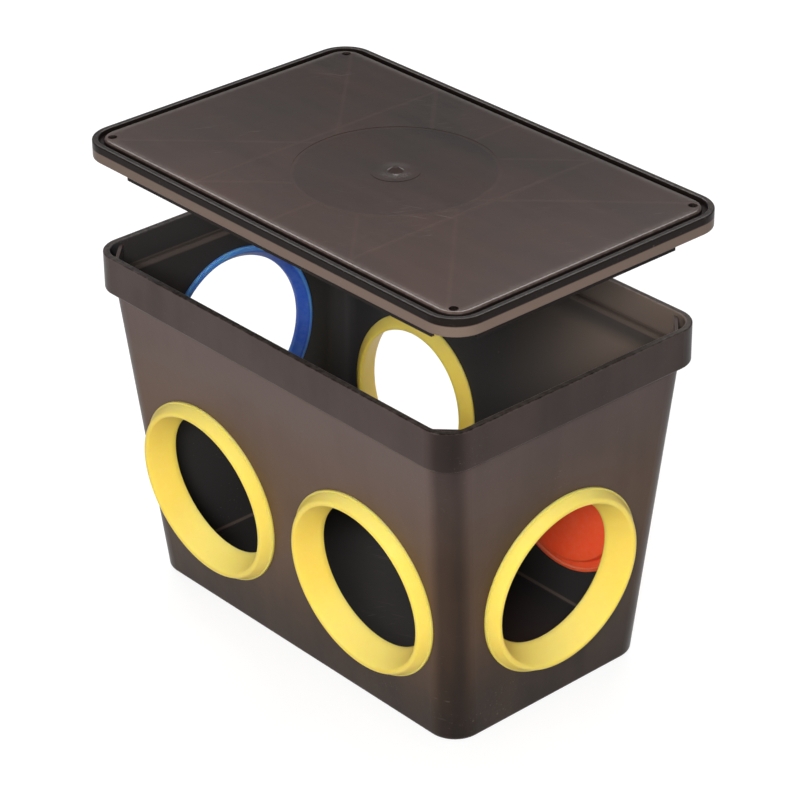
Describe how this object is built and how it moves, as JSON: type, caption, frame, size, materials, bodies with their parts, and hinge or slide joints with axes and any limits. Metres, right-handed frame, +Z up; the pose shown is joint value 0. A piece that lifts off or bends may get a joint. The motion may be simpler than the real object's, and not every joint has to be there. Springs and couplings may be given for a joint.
{
  "type": "septic distribution box",
  "caption": "Drafted plastic distribution box for septic drainage, with a stepped collar, flexible pipe seals in its walls, a plugged outlet and a ribbed lift-off lid.",
  "frame": {"origin": "centre of the box's underside", "axes": "+X along the long walls towards the end with the low outlet, +Y from the front wall to the rear wall, +Z up out of the open top"},
  "size_m": [0.3724, 0.24, 0.3404],
  "materials": {
    "smoke_plastic": "moulded, satin, dark smoky brown",
    "yellow_seal": "smooth, soft",
    "blue_seal": "smooth, soft",
    "red_plug": "smooth, soft"
  },
  "bodies": {
    "box": {"box_shell": "smoke_plastic", "pipe_seal_front_left": "yellow_seal", "pipe_seal_front_right": "yellow_seal", "pipe_seal_right_end": "yellow_seal", "pipe_seal_rear_left": "yellow_seal", "inlet_seal_left_end": "blue_seal", "outlet_plug_rear_right": "red_plug"},
    "lid": {"lid": "smoke_plastic"}
  },
  "joints": [
    {"name": "lid_lift", "type": "slide", "parent": "box", "child": "lid", "axis": [0, 0, 1], "range_m": [-0.0787, 0]}
  ]
}
